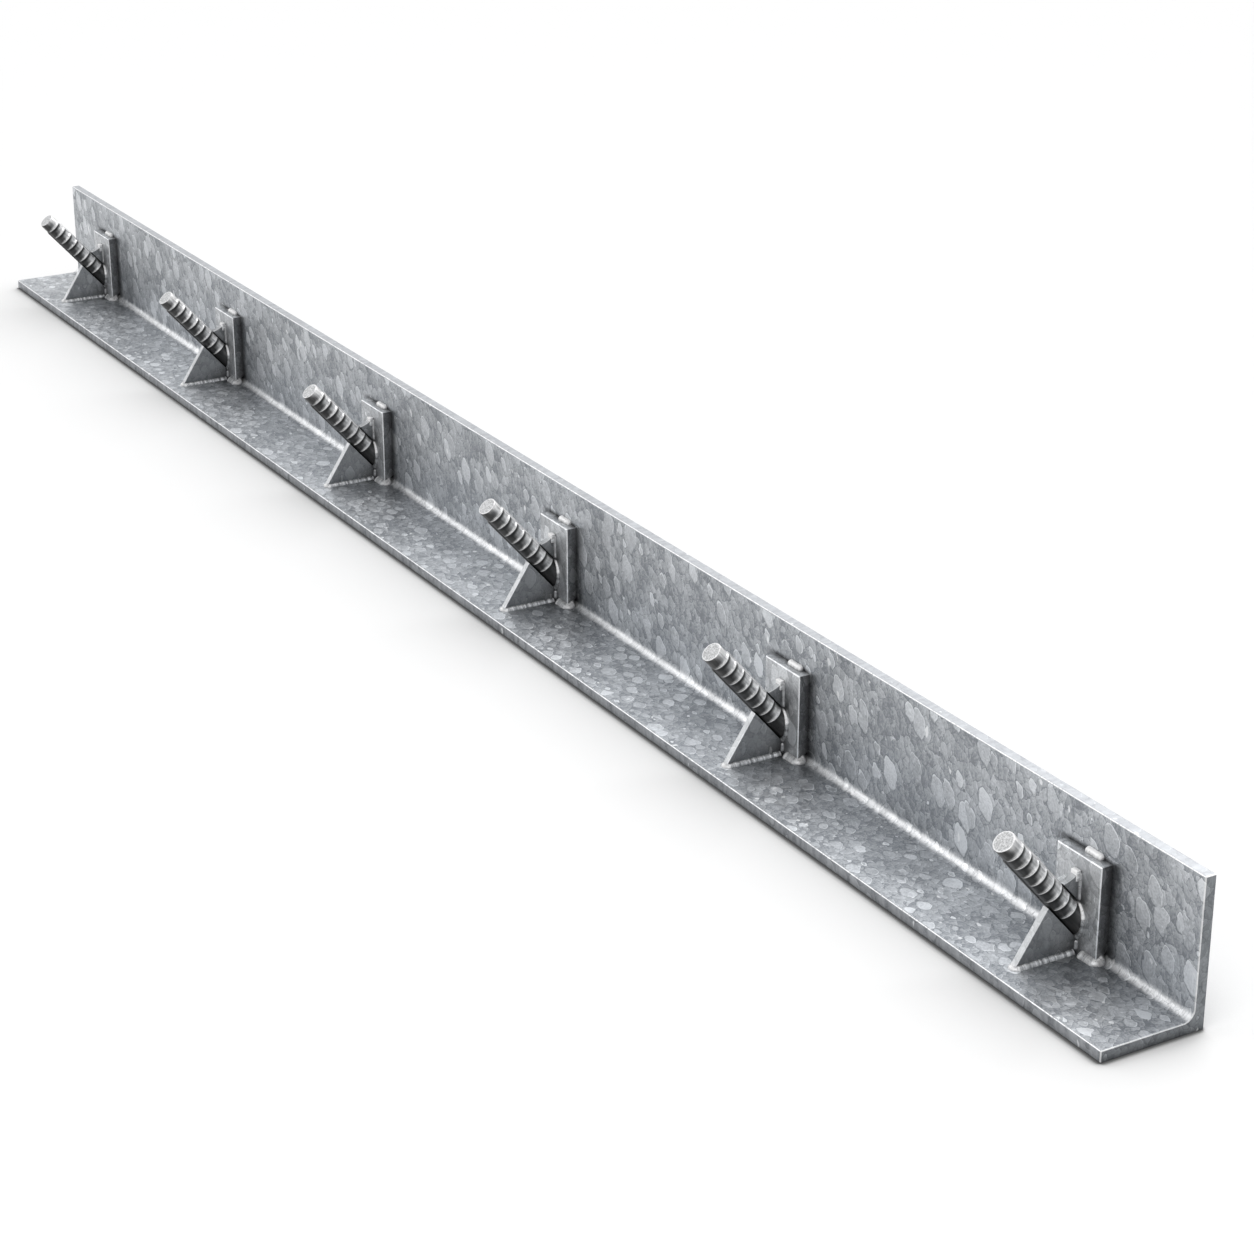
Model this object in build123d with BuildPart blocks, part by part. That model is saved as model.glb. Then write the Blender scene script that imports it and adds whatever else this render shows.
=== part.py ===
from build123d import *
from math import atan, cos, degrees, radians, sin, tan
import os

# Embed angle: a long galvanised steel angle with ribbed anchor bars welded to backing plates inside it.
# All sizes are millimetres. X runs along the angle, +Z is up and -Y is the open side that the bars point to.
# The origin is the middle of the underside of the lower leg.

# Rolled angle, lying on its shorter leg
angle_length = 1800.0
leg_height = 100.0
leg_width = 75.0
leg_thickness = 8.0
root_radius = 7.0
heel_radius = 2.5
edge_radius = 1.0

# Anchor stations along the angle
station_count = 6
end_distance = 100.0

# Backing plate behind each bar, with its rear foot cut away to clear the root radius
plate_width = 42.0
plate_height = 64.0
plate_thickness = 8.0
plate_edge_chamfer = 0.6
root_clearance = 0.3

# Ribbed anchor bar: its rise is where its axis meets the plate, above the lower leg's upper face
bar_core_diameter = 14.8
bar_length = 86.5
bar_angle = 49.0
bar_rise = 21.5
rib_count = 8
rib_pitch = 9.2
rib_height = 0.7
rib_rise = 1.1
rib_fall = 1.6
rib_arc = 140.0
spine_height = 0.8
spine_width = 2.8

# Lower gusset, from the lower leg up to the bar's underside
lower_gusset_thickness = 5.0
lower_gusset_reach = 44.5
lower_gusset_slope = 56.5
lower_gusset_nose = 2.4

# Upper gusset, between the bar's upper side and the plate
upper_gusset_thickness = 5.0
upper_gusset_reach = 12.5
upper_gusset_height = 54.5
upper_gusset_hollow = 1.0

gusset_edge_chamfer = 0.4

# Weld beads, each a fillet between the two faces that it joins
foot_bead_leg = 4.0
top_bead_length = 15.0
top_bead_offset = 5.5
top_bead_height = 3.5
top_bead_depth = 2.5
top_bead_crest = 0.3
ring_bead_leg = 2.6
ring_bead_collar = 2.2
ring_bead_sink = 0.3
gusset_bead_leg = 2.4
seam_bead_leg = 2.0
tip_bead_leg = 3.4
tip_bead_overhang = 0.6

# Places worked out from the sizes above, as Y and Z in the angle's cross-section
heel_y = leg_width / 2
toe_y = -leg_width / 2
inner_y = heel_y - leg_thickness
plate_front_y = inner_y - plate_thickness
plate_top_z = leg_thickness + plate_height
bar_base_z = leg_thickness + bar_rise
gusset_toe_y = plate_front_y - lower_gusset_reach
upper_tip_z = leg_thickness + upper_gusset_height
bar_radius = bar_core_diameter / 2
bar_seat_radius = bar_radius + spine_height
bar_sine = sin(radians(bar_angle))
bar_cosine = cos(radians(bar_angle))
bar_slope = tan(radians(bar_angle))
ring_reach = bar_radius / bar_cosine + ring_bead_leg

# Each station's pieces are made once, round X = 0. On these planes the cross-section's own x and y are the
# angle's Y and Z, and the plate's face looks out along -Y with its origin where the bar's axis meets it.
cross_section = Plane.YZ
plate_face = Plane(origin=(0, plate_front_y, bar_base_z), x_dir=(1, 0, 0), z_dir=(0, -1, 0))
bar_end_view = Plane(origin=plate_face.origin, x_dir=(1, 0, 0), z_dir=(0, -bar_cosine, bar_sine))
bar_axis = Axis(bar_end_view.origin, bar_end_view.z_dir)
bar_upper_side = Vector(0, bar_sine, bar_cosine)


# Section, seen from above, of the bead between a gusset and the plate: side is 1 towards +X and -1 towards -X
def seam_bead_section(gusset_thickness, side):
    inner_x = side * gusset_thickness / 2
    outer_x = inner_x + side * seam_bead_leg
    corner = (inner_x, plate_front_y)
    Polyline(corner, (outer_x, plate_front_y), (inner_x, plate_front_y - seam_bead_leg), close=True)


# Height of the line that a gusset's edge follows along the bar: side is 1 above the bar and -1 below it
def bar_side_z(y, side):
    return bar_base_z + side * bar_seat_radius / bar_cosine - bar_slope * (y - plate_front_y)


with BuildPart() as angle_section:
    with BuildSketch(cross_section) as leg_profile:
        with BuildLine():
            Polyline(
                (heel_y, 0),
                (heel_y, leg_height),
                (inner_y, leg_height),
                (inner_y, leg_thickness),
                (toe_y, leg_thickness),
                (toe_y, 0),
                close=True,
            )
        make_face()
        corners = leg_profile.vertices()
        fillet(corners.sort_by_distance((inner_y, leg_thickness))[0], radius=root_radius)
        fillet(corners.sort_by_distance((heel_y, 0))[0], radius=heel_radius)
        for leg_edge in ((heel_y, leg_height), (inner_y, leg_height), (toe_y, leg_thickness), (toe_y, 0)):
            fillet(leg_profile.vertices().sort_by_distance(leg_edge)[0], radius=edge_radius)
    extrude(amount=angle_length / 2, both=True)

with BuildPart() as backing_plate:
    cope = root_radius + root_clearance
    with BuildSketch(cross_section):
        with Locations((inner_y, leg_thickness)):
            Rectangle(plate_thickness, plate_height, align=(Align.MAX, Align.MIN))
        with BuildLine():
            Polyline(
                (inner_y, leg_thickness),
                (inner_y, leg_thickness + cope),
                (inner_y - cope, leg_thickness),
                close=True,
            )
        make_face(mode=Mode.SUBTRACT)
    extrude(amount=plate_width / 2, both=True)
    front_edges = backing_plate.faces().sort_by(Axis.Y)[0].edges().sort_by(Axis.Z)
    chamfer(front_edges[1:], length=plate_edge_chamfer)

# Two spines run along the bar, above and below, from its mitred foot to the rib nearest its sawn end. The
# ribs lie on its two flanks. Each rises steeply on the foot's side and falls away more gently.
with BuildPart() as anchor_bar:
    foot = -bar_seat_radius * bar_slope
    with BuildSketch(bar_end_view.offset(foot)):
        Circle(bar_radius)
    extrude(amount=bar_length - foot)
    with BuildSketch(bar_end_view.offset(foot)):
        Rectangle(spine_width, 2 * bar_seat_radius)
    extrude(amount=bar_length - rib_pitch - foot)
    first_crest = bar_length - rib_count * rib_pitch
    for flank in (90, 270):
        outward = bar_upper_side.rotate(bar_axis, flank - rib_arc / 2)
        with BuildSketch(Plane(bar_axis.position, x_dir=outward, z_dir=outward.cross(bar_axis.direction))):
            for rib in range(rib_count):
                crest = first_crest + rib * rib_pitch
                with BuildLine():
                    Polyline(
                        (bar_radius - rib_height, crest - 2 * rib_rise),
                        (bar_radius + rib_height, crest),
                        (bar_radius - rib_height, crest + 2 * rib_fall),
                        close=True,
                    )
                make_face()
        revolve(axis=bar_axis, revolution_arc=rib_arc)
    split(bisect_by=plate_face, keep=Keep.TOP)

with BuildPart() as lower_gusset:
    slope = radians(lower_gusset_slope)
    nose_z = leg_thickness + lower_gusset_nose
    room = bar_side_z(gusset_toe_y, -1) - nose_z
    slope_length = room * bar_cosine / sin(slope + radians(bar_angle))
    peak_y = gusset_toe_y + slope_length * cos(slope)
    with BuildSketch(cross_section):
        with BuildLine():
            Polyline(
                (plate_front_y, leg_thickness),
                (gusset_toe_y, leg_thickness),
                (gusset_toe_y, nose_z),
                (peak_y, bar_side_z(peak_y, -1)),
                (plate_front_y, bar_side_z(plate_front_y, -1)),
                close=True,
            )
        make_face()
    extrude(amount=lower_gusset_thickness / 2, both=True)
    sloping_face = lower_gusset.faces().sort_by(Axis((0, 0, 0), (0, -sin(slope), cos(slope))))[-1]
    chamfer(sloping_face.edges().filter_by(Axis.X, reverse=True), length=gusset_edge_chamfer)

with BuildPart() as upper_gusset:
    shoulder_y = plate_front_y - upper_gusset_reach
    tip = (plate_front_y, upper_tip_z)
    shoulder = (shoulder_y, bar_side_z(shoulder_y, 1))
    bar_corner = (plate_front_y, bar_side_z(plate_front_y, 1))
    with BuildSketch(cross_section):
        with BuildLine():
            Line(bar_corner, tip)
            SagittaArc(tip, shoulder, upper_gusset_hollow)
            Line(shoulder, bar_corner)
        make_face()
    extrude(amount=upper_gusset_thickness / 2, both=True)
    chamfer(upper_gusset.edges().filter_by(GeomType.CIRCLE), length=gusset_edge_chamfer)

# The ring is a cone of weld between the plate and the bar, wider on the plate than where it meets the bar
with BuildPart() as bar_ring_weld:
    with BuildSketch(plate_face):
        Ellipse(bar_radius + ring_bead_leg, ring_reach)
    with BuildSketch(plate_face.offset(ring_bead_collar)):
        with Locations((0, ring_bead_collar * bar_slope)):
            Ellipse(bar_radius - ring_bead_sink, bar_radius / bar_cosine - ring_bead_sink)
    loft()
    add(anchor_bar.part, mode=Mode.SUBTRACT)
    add(lower_gusset.part, mode=Mode.SUBTRACT)
    add(upper_gusset.part, mode=Mode.SUBTRACT)

# The bead at the plate's foot goes round both its front corners, and runs out where the root radius rises
with BuildPart() as plate_foot_weld:
    with BuildSketch(Plane.XY.offset(leg_thickness)):
        with Locations((0, plate_front_y - foot_bead_leg)):
            bead_depth = plate_thickness + 2 * foot_bead_leg
            Rectangle(plate_width + 2 * foot_bead_leg, bead_depth, align=(Align.CENTER, Align.MIN))
    extrude(amount=foot_bead_leg, taper=45)
    with BuildSketch(cross_section):
        with Locations((plate_front_y, leg_thickness)):
            Rectangle(plate_thickness, foot_bead_leg, align=Align.MIN)
    extrude(amount=plate_width / 2, both=True, mode=Mode.SUBTRACT)
    for neighbour in (angle_section, lower_gusset):
        add(neighbour.part, mode=Mode.SUBTRACT)

# A short bead joins the plate's top edge to the upright leg
with BuildPart() as plate_top_weld:
    with BuildSketch(Plane.XY.offset(plate_top_z)):
        with Locations((top_bead_offset, inner_y)):
            Rectangle(top_bead_length, 2 * top_bead_depth)
    bead_taper = degrees(atan((top_bead_depth - top_bead_crest) / top_bead_height))
    extrude(amount=top_bead_height, taper=bead_taper)
    add(angle_section.part, mode=Mode.SUBTRACT)

# Beads run along both sides of the gusset's base, round its toe, and up both sides of its seam with the plate,
# where they stop short of the bar's ring
with BuildPart() as lower_gusset_weld:
    with BuildSketch(Plane.XY.offset(leg_thickness)):
        with Locations((0, gusset_toe_y - gusset_bead_leg)):
            bead_width = lower_gusset_thickness + 2 * gusset_bead_leg
            bead_run = lower_gusset_reach + gusset_bead_leg
            Rectangle(bead_width, bead_run, align=(Align.CENTER, Align.MIN))
    extrude(amount=gusset_bead_leg, taper=45)
    with BuildSketch(Plane.XY.offset(leg_thickness)):
        for side in (-1, 1):
            with BuildLine():
                seam_bead_section(lower_gusset_thickness, side)
            make_face()
    extrude(amount=bar_rise - ring_reach)
    for neighbour in (lower_gusset, plate_foot_weld):
        add(neighbour.part, mode=Mode.SUBTRACT)

# A tack covers the upper gusset's tip, and a bead runs down each side of its seam with the plate
with BuildPart() as upper_gusset_weld:
    tack_width = upper_gusset_thickness + 2 * tip_bead_overhang
    with BuildSketch(cross_section):
        with BuildLine():
            Polyline(
                (plate_front_y, upper_tip_z - tip_bead_leg),
                (plate_front_y, upper_tip_z + tip_bead_leg),
                (plate_front_y - tip_bead_leg, upper_tip_z),
                (plate_front_y - tip_bead_leg, upper_tip_z - tip_bead_leg),
                close=True,
            )
        make_face()
    extrude(amount=tack_width / 2, both=True)
    with BuildSketch(Plane.XY.offset(bar_base_z + ring_reach)):
        for side in (-1, 1):
            with BuildLine():
                seam_bead_section(upper_gusset_thickness, side)
            make_face()
    extrude(amount=upper_tip_z - tip_bead_leg / 2 - bar_base_z - ring_reach)
    add(upper_gusset.part, mode=Mode.SUBTRACT)

# Write the angle, and a set of the other pieces at each station
os.makedirs("parts", exist_ok=True)
angle_section.part.label = "angle_section"
export_step(angle_section.part, "parts/angle_section.step")

station_pieces = {
    "backing_plate": backing_plate,
    "anchor_bar": anchor_bar,
    "lower_gusset": lower_gusset,
    "upper_gusset": upper_gusset,
    "plate_foot_weld": plate_foot_weld,
    "plate_top_weld": plate_top_weld,
    "bar_ring_weld": bar_ring_weld,
    "lower_gusset_weld": lower_gusset_weld,
    "upper_gusset_weld": upper_gusset_weld,
}
station_pitch = (angle_length - 2 * end_distance) / (station_count - 1)
for station in range(station_count):
    station_x = end_distance + station * station_pitch - angle_length / 2
    for name, piece in station_pieces.items():
        with BuildPart() as placed:
            with Locations((station_x, 0, 0)):
                add(piece.part)
        label = f"{name}_{station + 1}"
        placed.part.label = label
        export_step(placed.part, f"parts/{label}.step")
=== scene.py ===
import bpy
from math import atan2, cos, degrees, hypot, pi, radians, sin, tan
from mathutils import Matrix, Vector


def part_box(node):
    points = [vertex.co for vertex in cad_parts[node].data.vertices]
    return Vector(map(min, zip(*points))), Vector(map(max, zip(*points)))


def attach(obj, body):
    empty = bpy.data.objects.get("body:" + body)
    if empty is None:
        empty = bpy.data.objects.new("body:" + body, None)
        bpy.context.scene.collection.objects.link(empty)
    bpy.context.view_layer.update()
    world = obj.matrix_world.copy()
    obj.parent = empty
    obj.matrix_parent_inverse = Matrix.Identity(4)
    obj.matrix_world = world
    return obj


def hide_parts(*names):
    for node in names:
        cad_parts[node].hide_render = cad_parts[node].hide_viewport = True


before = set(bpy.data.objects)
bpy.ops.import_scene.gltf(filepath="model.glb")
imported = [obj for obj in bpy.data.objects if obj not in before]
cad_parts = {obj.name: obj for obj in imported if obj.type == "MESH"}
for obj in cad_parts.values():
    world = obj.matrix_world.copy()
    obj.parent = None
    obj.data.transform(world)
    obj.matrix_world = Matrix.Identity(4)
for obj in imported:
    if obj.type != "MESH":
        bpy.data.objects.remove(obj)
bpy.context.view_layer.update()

# The dressed embed angle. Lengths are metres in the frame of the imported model: X runs along the angle, +Z is
# up, and the bars point to -Y. Each kind of piece is modelled once, round X = 0, and copied to six stations.
mm = 0.001
merge_distance = 0.002 * mm

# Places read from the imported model
stations = range(1, 7)
plate_low, plate_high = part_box("backing_plate_1")
gusset_low, gusset_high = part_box("lower_gusset_1")
angle_low, angle_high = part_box("angle_section")
plate_front = plate_low.y
leg_face = plate_high.y
leg_top = plate_low.z
plate_top = plate_high.z
plate_half = (plate_high.x - plate_low.x) / 2
gusset_half = (gusset_high.x - gusset_low.x) / 2
gusset_toe = gusset_low.y
brace_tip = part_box("upper_gusset_1")[1].z
angle_end = angle_high.x

# The angle's cut ends are dressed to a round. Its long edges and cut ends show their own zinc over these widths
end_round = 0.7 * mm
edge_band = 1.2 * mm
end_band = 0.01 * mm

# The bar: its axis meets the plate at bar_foot and rises towards -Y
bar_radius = 7.4 * mm
bar_length = 86.5 * mm
bar_tilt = radians(49)
bar_foot = Vector((0, plate_front, leg_top + 21.5 * mm))
bar_sides = 56
bar_smooth_angle = 20

# Its ribs and its two spines. A rib rises over rib_rise, falls over rib_fall, and has rib_share of a spine's
# height
rib_count = 8
rib_pitch = 9.2 * mm
rib_rise = 1.1 * mm
rib_fall = 1.6 * mm
rib_share = 0.88
spine_height = 0.8 * mm
first_rib = bar_length - rib_count * rib_pitch

# Degrees round the bar from a spine: the spine fades out over the first pair, and the ribs rise over the second
spine_fade = (7, 14)
rib_start = (18, 34)

# Rows of points along the bar, in millimetres: round each rib's crest, and back from the sawn end, with the
# width that the bar keeps there
rib_rows = (-2.2, -1.15, -0.6, -0.15, 0.15, 0.7, 1.2, 1.7, 3.2, 5.0)
end_rows = ((0.5, 1.0), (0.15, 0.983), (0.0, 0.96), (0.0, 0.84))

# Weld beads: how far each reaches along the two faces it joins, and the spacing of its ripples
foot_leg = 3.8 * mm
base_leg = 2.6 * mm
seam_leg = 1.5 * mm
ring_leg = 2.0 * mm
top_girth = 2.9 * mm
top_start = -2.0 * mm
top_end = 13.0 * mm
tack_half = 3.1 * mm
tack_reach = 3.4 * mm
seam_clearance = 13 * mm
ripple_pitch = 3.6 * mm
ripple_depth = 0.045
glint_reach = 2.6 * mm
ring_steps = 72
bead_sides = 20
bead_spacing = 0.8 * mm
bead_smooth_angle = 60


# Helpers for modelling

def pick(piece):
    """Select this piece alone and make it the active one."""
    bpy.ops.object.select_all(action="DESELECT")
    piece.select_set(True)
    bpy.context.view_layer.objects.active = piece


def finish_mesh(piece, smooth_angle):
    """Merge doubles, turn the faces outwards and round the shading."""
    pick(piece)
    bpy.ops.object.mode_set(mode="EDIT")
    bpy.ops.mesh.select_all(action="SELECT")
    bpy.ops.mesh.remove_doubles(threshold=merge_distance)
    bpy.ops.mesh.normals_make_consistent(inside=False)
    bpy.ops.object.mode_set(mode="OBJECT")
    bpy.ops.object.transform_apply(location=True, rotation=True, scale=True)
    bpy.ops.object.shade_smooth_by_angle(angle=radians(smooth_angle))


def mark(piece, name, values):
    """Keep one number for each point of the piece, for its material to read."""
    piece.data.attributes.new(name, "FLOAT", "POINT")
    piece.data.attributes[name].data.foreach_set("value", values)


def between(value, start, end):
    """0 at start, 1 at end, and held at those beyond them."""
    return max(0.0, min(1.0, (value - start) / (end - start)))


def station_x(station):
    """Where this station's plate is centred along the angle."""
    low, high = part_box(f"backing_plate_{station}")
    return (low.x + high.x) / 2


def set_at_stations(piece, node):
    """Copy a piece made at X = 0 to each station, in place of that station's node."""
    for station in stations:
        placed = piece.copy()
        placed.data = piece.data.copy()
        placed.data.transform(Matrix.Translation((station_x(station), 0, 0)))
        placed.name = f"{piece.name}_{station}"
        bpy.context.scene.collection.objects.link(placed)
        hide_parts(f"{node}_{station}")
        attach(placed, "root")
    bpy.data.objects.remove(piece)


# Helpers for materials

def put(tree, kind, inputs=None, **settings):
    """Add a node. Each input is a value, or the socket that feeds it."""
    made = tree.nodes.new(kind)
    for name, value in settings.items():
        setattr(made, name, value)
    for key, value in (inputs or {}).items():
        if isinstance(value, bpy.types.NodeSocket):
            tree.links.new(value, made.inputs[key])
        else:
            made.inputs[key].default_value = value
    return made


def sums(tree, operation, first, second=0.0, third=None, clamp=False):
    inputs = {0: first, 1: second}
    if third is not None:
        inputs[2] = third
    return put(tree, "ShaderNodeMath", inputs, operation=operation, use_clamp=clamp).outputs[0]


def vectors(tree, operation, first, second):
    return put(tree, "ShaderNodeVectorMath", {0: first, 1: second}, operation=operation).outputs


def scaled(tree, vector, share):
    return put(tree, "ShaderNodeVectorMath", {0: vector, "Scale": share}, operation="SCALE").outputs[0]


def ramp(tree, value, low, high, to_low=0.0, to_high=1.0):
    """A smooth step of value from low to high."""
    inputs = {"Value": value, "From Min": low, "From Max": high, "To Min": to_low, "To Max": to_high}
    return put(tree, "ShaderNodeMapRange", inputs, interpolation_type="SMOOTHSTEP").outputs["Result"]


def blend(tree, share, first, second):
    made = put(tree, "ShaderNodeMix", data_type="RGBA")
    for key, value in (("Factor", share), ("A", first), ("B", second)):
        socket = [s for s in made.inputs if s.name == key and s.enabled][0]
        if isinstance(value, bpy.types.NodeSocket):
            tree.links.new(value, socket)
        else:
            socket.default_value = value
    return [s for s in made.outputs if s.enabled][0]


def noise(tree, vector, scale, detail):
    return put(tree, "ShaderNodeTexNoise", {"Vector": vector, "Scale": scale, "Detail": detail}).outputs


def stretched(tree, vector, scale):
    """The vector with its axes scaled apart, which draws a texture out along the axes with small numbers."""
    return put(tree, "ShaderNodeMapping", {"Vector": vector, "Scale": scale}).outputs[0]


def turned(tree, vector, angle, axis):
    inputs = {"Vector": vector, "Angle": angle}
    return put(tree, "ShaderNodeVectorRotate", inputs, rotation_type=axis).outputs[0]


def wandering(tree, vector, scale, detail, distance):
    """The vector shifted here and there by up to half the distance, so that outlines drawn on it wander."""
    shift = noise(tree, vector, scale, detail)["Color"]
    shift = scaled(tree, vectors(tree, "SUBTRACT", shift, (0.5, 0.5, 0.5))[0], distance)
    return vectors(tree, "ADD", vector, shift)[0]


def split_color(tree, cells):
    """Three random numbers for each cell of a cell texture."""
    return put(tree, "ShaderNodeSeparateColor", {"Color": cells.outputs["Color"]}).outputs


def stir(tree, tone, pattern, weight):
    """Move the tone up and down with a pattern that lies round one half."""
    return sums(tree, "MULTIPLY_ADD", sums(tree, "SUBTRACT", pattern, 0.5), weight, tone)


def facing_of(tree):
    """Which way the surface faces, as its X, Y and Z."""
    return put(tree, "ShaderNodeSeparateXYZ", {0: put(tree, "ShaderNodeNewGeometry").outputs["Normal"]}).outputs


def marked(tree, name):
    """The number kept for the piece under this name, which is 0 where a piece has none."""
    return put(tree, "ShaderNodeAttribute", attribute_name=name).outputs["Fac"]


def new_group(name, inputs, outputs):
    group = bpy.data.node_groups.new(name, "ShaderNodeTree")
    for label, kind, value in inputs:
        socket = group.interface.new_socket(label, in_out="INPUT", socket_type=kind)
        if value is not None:
            socket.default_value = value
    for label, kind in outputs:
        group.interface.new_socket(label, in_out="OUTPUT", socket_type=kind)
    return group, group.nodes.new("NodeGroupInput").outputs, group.nodes.new("NodeGroupOutput").inputs


def new_material(name):
    material = bpy.data.materials.new(name)
    material.use_nodes = True
    t = material.node_tree
    return material, t, t.nodes["Principled BSDF"], put(t, "ShaderNodeTexCoord").outputs["Object"]


def emboss(tree, shader, height, strength, distance):
    raised = put(tree, "ShaderNodeBump", {"Height": height, "Strength": strength, "Distance": distance})
    tree.links.new(raised.outputs["Normal"], shader.inputs["Normal"])


# Colours
white = (1, 1, 1, 1)
underside_shade_color = (0.03, 0.03, 0.032, 1)
speck_color = (0.85, 0.86, 0.87, 1)
edge_highlight_color = (0.8, 0.81, 0.82, 1)
root_highlight_color = (0.86, 0.865, 0.87, 1)
bar_dull = (0.36, 0.365, 0.37, 1)
rib_shadow_color = (0.02, 0.02, 0.02, 1)
crest_highlight_color = (0.95, 0.955, 0.96, 1)
sawn_dull = (0.34, 0.345, 0.35, 1)
sawn_pale = (0.62, 0.625, 0.635, 1)
sawn_rim_highlight = (0.9, 0.905, 0.91, 1)
valley_shade_color = (0.1, 0.1, 0.11, 1)
shaded_color = (0.12, 0.12, 0.125, 1)

# Rays that measure how tight a corner is
corner_samples = 8

# Zinc spangle: how many cells of each kind lie in a flake's size, how far they lean (radians) and their stretch
field_density = 1.35
field_lean = 0.28
field_stretch = (1.0, 1.3, 0.7)
leaf_density = 0.62
leaf_lean = 0.4
leaf_stretch = (1.0, 1.25, 0.66)
leaf_corner = 1.5
full_turn = 6.28
# The way that the flakes' painted light comes from
painted_light_way = (0.75, 0.45, 0.5)

# How far each thing moves the zinc's tone, and the middle of the tones before and after the contrast
feather_weight = 0.85
grain_weight = 0.5
cloud_weight = 0.65
flake_line = -0.38
leaf_rim_light = 0.95
leaf_outline = -0.42
middle_tone = 0.43
shown_middle = 0.46


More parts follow.
